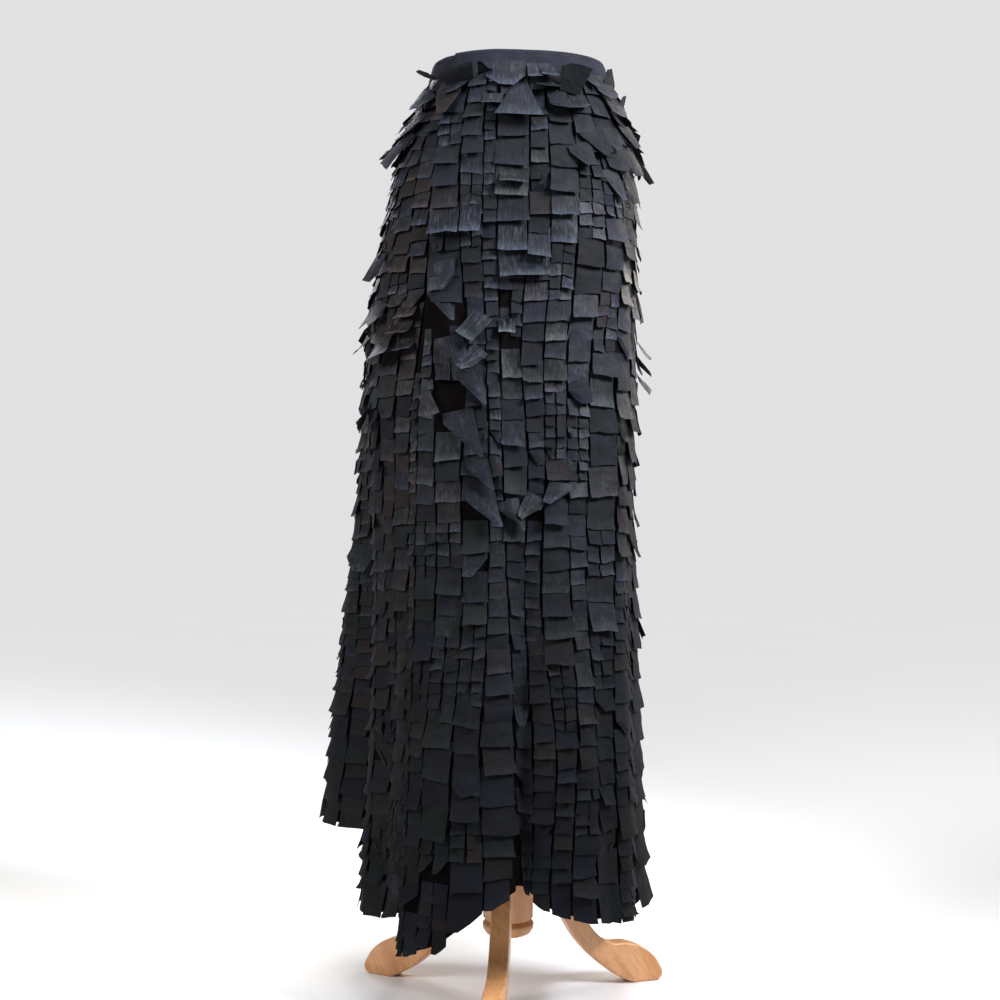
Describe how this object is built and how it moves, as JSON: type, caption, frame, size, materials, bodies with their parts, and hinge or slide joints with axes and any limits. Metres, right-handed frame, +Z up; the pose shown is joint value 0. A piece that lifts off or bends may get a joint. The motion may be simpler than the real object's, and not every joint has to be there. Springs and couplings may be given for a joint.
{
  "type": "wrap skirt on a skirt form stand",
  "caption": "Long wrap skirt covered in upright columns of sewn-down folded ribbon tabs, worn by a limbless skirt form on a wooden tripod stand.",
  "frame": {"origin": "on the floor, under the middle of the whole object's box", "axes": "+Z up, the skirt's front and its vent face -Y, +X is on the viewer's right"},
  "size_m": [0.4235, 0.4078, 1.1085],
  "materials": {
    "tab_cloth": "coated blue-black ribbon with a soft sheen",
    "band_cloth": "matt blue-black woven cloth",
    "form_cover": "matt natural jersey",
    "wood": "satin varnished beech"
  },
  "bodies": {
    "root": {"waistband": "band_cloth", "over_panel": "tab_cloth", "front_panel": "tab_cloth", "back_right_panel": "tab_cloth", "back_left_panel": "tab_cloth", "under_panel": "tab_cloth", "hip_form": "form_cover", "pole": "wood", "leg_front": "wood", "leg_right": "wood", "leg_left": "wood"}
  },
  "joints": []
}
